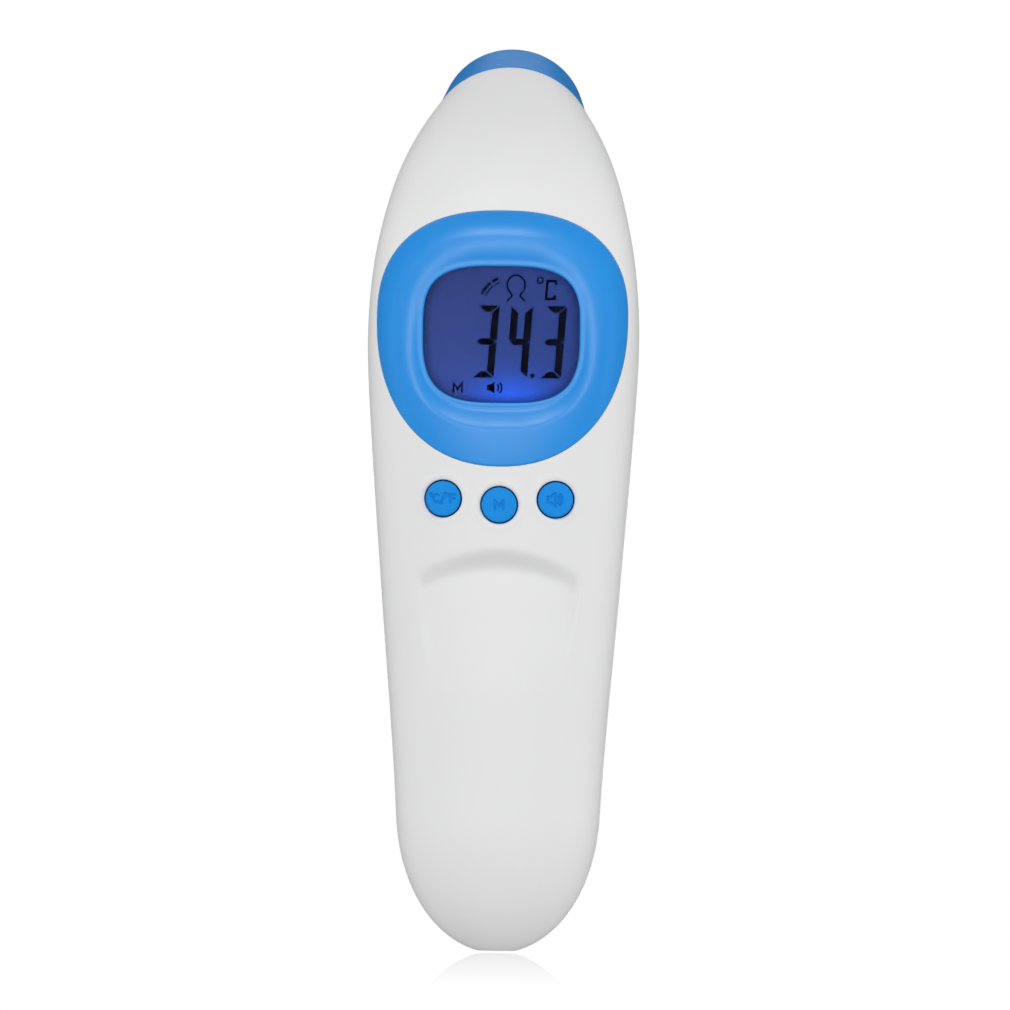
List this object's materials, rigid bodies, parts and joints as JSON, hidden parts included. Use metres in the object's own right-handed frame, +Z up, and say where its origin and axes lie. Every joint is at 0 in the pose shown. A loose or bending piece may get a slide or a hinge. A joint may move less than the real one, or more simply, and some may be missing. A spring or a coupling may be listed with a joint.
{
  "type": "non-contact digital thermometer",
  "caption": "Hand-held infrared thermometer: a white baton with a backlit display in a blue bezel, three keys, a thumb rest, a rear trigger and a tilted probe.",
  "frame": {"origin": "middle of the small flat on the round end of the handle", "axes": "+Z up along the handle, the display faces -Y, the probe points towards +Y and 25 degrees up, +X is on the right of someone who reads the display"},
  "size_m": [0.048, 0.0581, 0.1599],
  "materials": {
    "white_plastic": "fine satin moulded ABS",
    "blue_plastic": "satin moulded ABS, mid blue",
    "clear_plastic": "clear polished acrylic",
    "lcd_glass": "liquid crystal cell, lit violet blue from behind",
    "diffuser_plastic": "milky light guide",
    "holder_plastic": "plain moulded inner plastic",
    "board_laminate": "green solder mask on glass-fibre board",
    "black_plastic": "moulded black plastic",
    "red_plastic": "wire insulation",
    "steel": "plated steel",
    "bright_chrome": "bright plated cup",
    "strip_rubber": "striped elastomer contact strip",
    "battery_sleeve": "plain printed battery sleeve with no lettering"
  },
  "bodies": {
    "casing": {"front_shell": "white_plastic", "rear_shell": "white_plastic", "probe_nozzle": "blue_plastic", "display_bezel": "blue_plastic", "display_lens": "clear_plastic", "lcd_glass": "lcd_glass", "backlight": "diffuser_plastic", "display_holder": "holder_plastic", "battery_tray": "holder_plastic", "sensor_cable": "holder_plastic", "main_board": "board_laminate", "sensor_board": "board_laminate", "processor": "black_plastic", "buzzer": "black_plastic", "unit_switch": "black_plastic", "memory_switch": "black_plastic", "sound_switch": "black_plastic", "trigger_switch": "black_plastic", "battery_lead_black": "black_plastic", "battery_lead_red": "red_plastic", "sensor_can": "steel", "trigger_spring": "steel", "battery_plate": "steel", "battery_spring": "steel", "battery_link": "steel", "shell_screw_lower_left": "steel", "shell_screw_lower_right": "steel", "shell_screw_upper_left": "steel", "shell_screw_upper_right": "steel", "board_screw_left": "steel", "board_screw_right": "steel", "probe_reflector": "bright_chrome", "contact_strip": "strip_rubber", "battery_left": "battery_sleeve", "battery_right": "battery_sleeve"},
    "unit_button": {"unit_button": "blue_plastic"},
    "memory_button": {"memory_button": "blue_plastic"},
    "sound_button": {"sound_button": "blue_plastic"},
    "trigger": {"trigger": "blue_plastic"},
    "battery_door": {"battery_door": "white_plastic"}
  },
  "joints": [
    {"name": "unit_button_press", "type": "slide", "parent": "casing", "child": "unit_button", "axis": [0, 1, 0], "range_m": [0, 0.0006], "stiffness_N_per_m": 400},
    {"name": "memory_button_press", "type": "slide", "parent": "casing", "child": "memory_button", "axis": [0, 1, 0], "range_m": [0, 0.0006], "stiffness_N_per_m": 400},
    {"name": "sound_button_press", "type": "slide", "parent": "casing", "child": "sound_button", "axis": [0, 1, 0], "range_m": [0, 0.0006], "stiffness_N_per_m": 400},
    {"name": "trigger_press", "type": "slide", "parent": "casing", "child": "trigger", "axis": [0, -1, 0], "range_m": [0, 0.0018], "stiffness_N_per_m": 600, "deforming": ["trigger_spring"]},
    {"name": "battery_door_release", "type": "slide", "parent": "casing", "child": "battery_door", "axis": [0, 1, 0], "range_m": [0, 0.03]}
  ]
}
